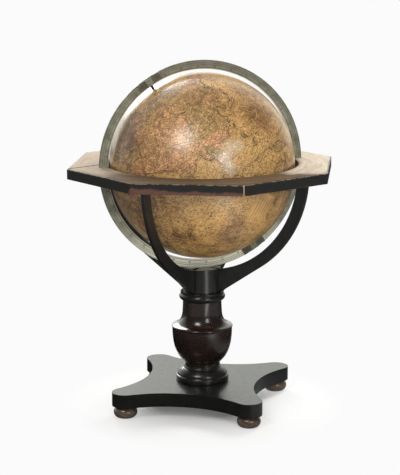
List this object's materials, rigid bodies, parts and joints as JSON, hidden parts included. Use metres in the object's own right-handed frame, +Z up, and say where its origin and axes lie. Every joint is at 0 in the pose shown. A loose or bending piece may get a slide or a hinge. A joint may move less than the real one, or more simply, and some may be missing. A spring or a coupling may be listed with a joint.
{
  "type": "terrestrial table globe",
  "caption": "Papered globe turning on pole pins in a sliding meridian ring, set in an octagonal horizon on four arms, a turned pedestal and a plinth with bun feet.",
  "frame": {"origin": "on the floor under the feet, on the axis of the pedestal, straight below the centre of the globe", "axes": "+Z up; the meridian ring lies in the XZ plane and turns about +Y through the globe's centre; the north pole leans towards -X"},
  "size_m": [0.452, 0.452, 0.5795],
  "materials": {
    "papier_mache": "matt",
    "inner_wood": "raw",
    "bush_brass": "turned",
    "iron": "dull",
    "map_paper": "aged varnish",
    "ring_brass": "green-grey patina",
    "plate_brass": "dark patina",
    "screw_steel": "tarnished",
    "pin_steel": "tarnished",
    "horizon_wood": "worn ebonised edge",
    "horizon_paper": "aged varnish",
    "ebonised_wood": "satin black polish",
    "stained_wood": "polished dark stain",
    "foot_wood": "brown polish"
  },
  "bodies": {
    "stand": {"horizon_front": "horizon_wood", "horizon_back": "horizon_wood", "horizon_left": "horizon_wood", "horizon_right": "horizon_wood", "horizon_dowels": "inner_wood", "horizon_paper": "horizon_paper", "arm_front_left": "ebonised_wood", "arm_front_right": "ebonised_wood", "arm_rear_right": "ebonised_wood", "arm_rear_left": "ebonised_wood", "meridian_rest": "bush_brass", "pedestal_head": "ebonised_wood", "pedestal_collar": "ebonised_wood", "pedestal_vase": "stained_wood", "pedestal_foot": "ebonised_wood", "plinth": "ebonised_wood", "plinth_screws": "iron", "foot_front_left": "foot_wood", "foot_front_right": "foot_wood", "foot_rear_right": "foot_wood", "foot_rear_left": "foot_wood"},
    "meridian": {"meridian_ring": "ring_brass", "pole_plate_north": "plate_brass", "pole_plate_south": "plate_brass", "plate_screws": "screw_steel", "pole_pin_north": "pin_steel", "pole_pin_south": "pin_steel"},
    "globe": {"globe_shell_north": "papier_mache", "globe_shell_south": "papier_mache", "equator_hoop": "inner_wood", "globe_axle": "inner_wood", "axle_bush_north": "bush_brass", "axle_bush_south": "bush_brass", "shell_nails": "iron", "map_gore_1": "map_paper", "map_gore_2": "map_paper", "map_gore_3": "map_paper", "map_gore_4": "map_paper", "map_gore_5": "map_paper", "map_gore_6": "map_paper", "map_gore_7": "map_paper", "map_gore_8": "map_paper", "map_gore_9": "map_paper", "map_gore_10": "map_paper", "map_gore_11": "map_paper", "map_gore_12": "map_paper", "polar_paper_north": "map_paper", "polar_paper_south": "map_paper"}
  },
  "joints": [
    {"name": "meridian_tilt", "type": "hinge", "parent": "stand", "child": "meridian", "pos_m": [0, 0, 0.40706], "axis": [0, 1, 0], "range_deg": [-45, 110]},
    {"name": "globe_spin", "type": "hinge", "parent": "meridian", "child": "globe", "pos_m": [0, 0, 0.40706], "axis": [-0.5373, 0, 0.8434], "continuous": true}
  ]
}
